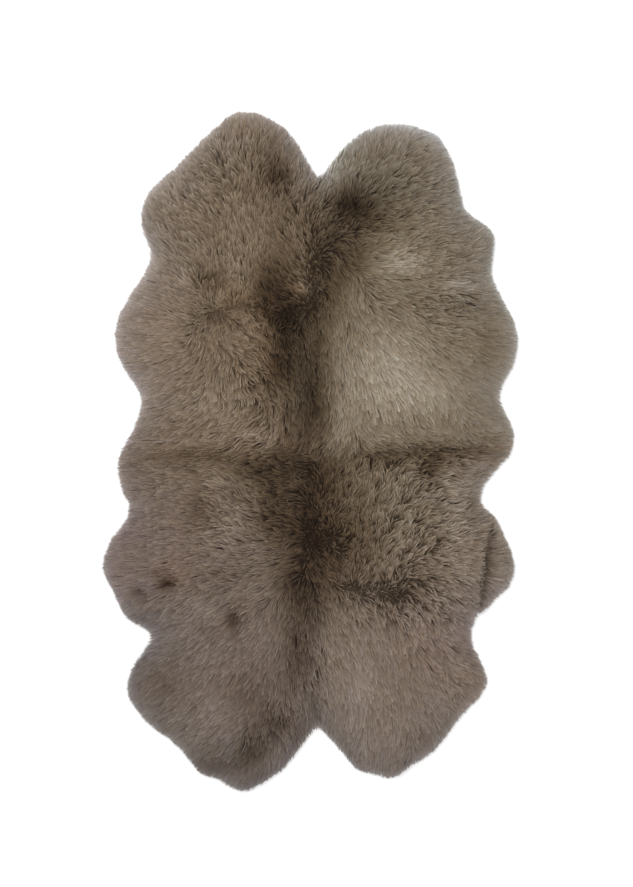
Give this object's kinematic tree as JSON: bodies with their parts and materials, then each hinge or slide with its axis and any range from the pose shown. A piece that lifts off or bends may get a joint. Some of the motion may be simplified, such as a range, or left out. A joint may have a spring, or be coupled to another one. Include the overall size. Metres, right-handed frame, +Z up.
{
  "type": "sheepskin rug",
  "caption": "Flat floor rug of joined long-wool sheepskins in taupe brown, with lobed shaggy edges, wool side up.",
  "frame": {"origin": "centre of the bounding box in plan, on the floor under the skin side", "axes": "+X to the right and +Y to the top of the rug as seen from above, +Z up out of the floor"},
  "size_m": [1.0995, 1.799, 0.0573],
  "materials": {
    "wool": "long taupe-brown sheep's wool, matt, darker at the roots",
    "hide": "tanned suede skin side, pale tan, matt"
  },
  "bodies": {
    "root": {"pelt_upper_left": "wool", "pelt_upper_right": "wool", "pelt_lower_left": "wool", "pelt_lower_right": "wool"}
  },
  "joints": []
}
